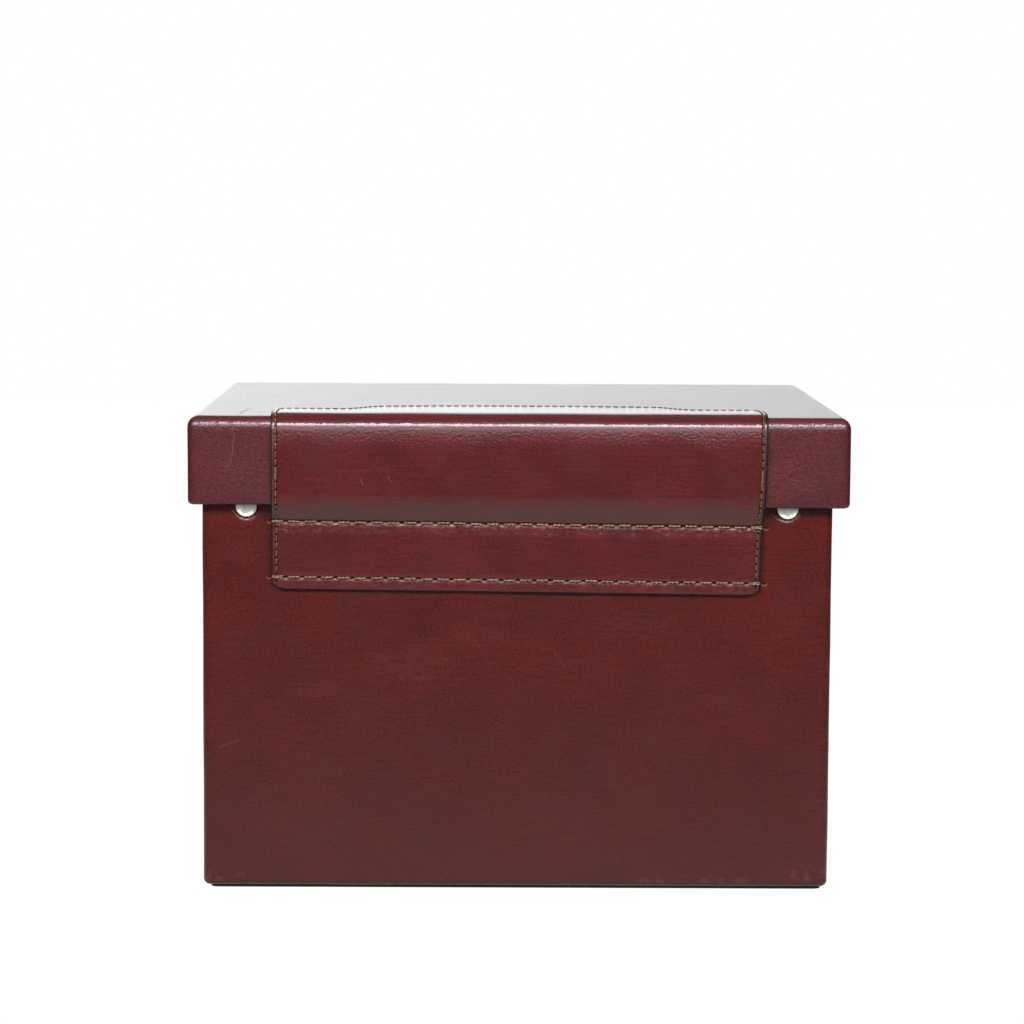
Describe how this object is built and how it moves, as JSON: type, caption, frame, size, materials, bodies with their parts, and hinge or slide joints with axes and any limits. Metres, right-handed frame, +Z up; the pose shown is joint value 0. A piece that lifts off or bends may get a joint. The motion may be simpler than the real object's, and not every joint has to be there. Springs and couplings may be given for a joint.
{
  "type": "stationery box",
  "caption": "Deep leather-covered stationery box with a telescoping lid on a wide sewn leather hinge panel, nickel rivets and a lined interior.",
  "frame": {"origin": "under the middle of the closed box with its hinge panel, on the surface it stands on", "axes": "+Z up, -Y out of the hinge wall towards the picture's camera, +X to the right as that wall is seen"},
  "size_m": [0.33, 0.2784, 0.2424],
  "materials": {
    "cover_leather": "burgundy, semi-gloss, fine grain",
    "panel_leather": "burgundy, glossy, fine grain",
    "lining": "tan suede",
    "grey_board": "bare grey board",
    "base_black": "black, matt",
    "hand_thread": "waxed linen thread",
    "seam_thread": "fine bonded thread",
    "nickel": "nickel plated"
  },
  "bodies": {
    "box_body": {"base_panel": "base_black", "base_infill": "grey_board", "floor_board": "grey_board", "hinge_wall_board": "grey_board", "front_wall_board": "grey_board", "left_wall_board": "grey_board", "right_wall_board": "grey_board", "body_cover": "cover_leather", "body_wall_lining": "lining", "body_floor_lining": "lining", "hinge_body_leaf": "panel_leather", "hinge_body_backing": "panel_leather", "upper_hand_stitches": "hand_thread", "lower_hand_stitches": "hand_thread", "body_seam": "seam_thread", "rivet_caps": "nickel", "rivet_backs": "nickel", "hinge_fold": "panel_leather", "hinge_fold_backing": "panel_leather", "fold_seam": "seam_thread"},
    "lid": {"lid_top_board": "grey_board", "lid_hinge_board": "grey_board", "lid_front_board": "grey_board", "lid_left_board": "grey_board", "lid_right_board": "grey_board", "lid_cover": "cover_leather", "lid_wall_lining": "lining", "lid_top_lining": "lining", "hinge_lid_leaf": "panel_leather", "hinge_lid_backing": "panel_leather", "lid_seam": "seam_thread"}
  },
  "joints": [
    {"name": "lid_hinge", "type": "hinge", "parent": "box_body", "child": "lid", "pos_m": [0, -0.13609, 0.1947], "axis": [1, 0, 0], "range_deg": [0, 180], "deforming": ["hinge_fold", "hinge_fold_backing", "fold_seam"]}
  ]
}
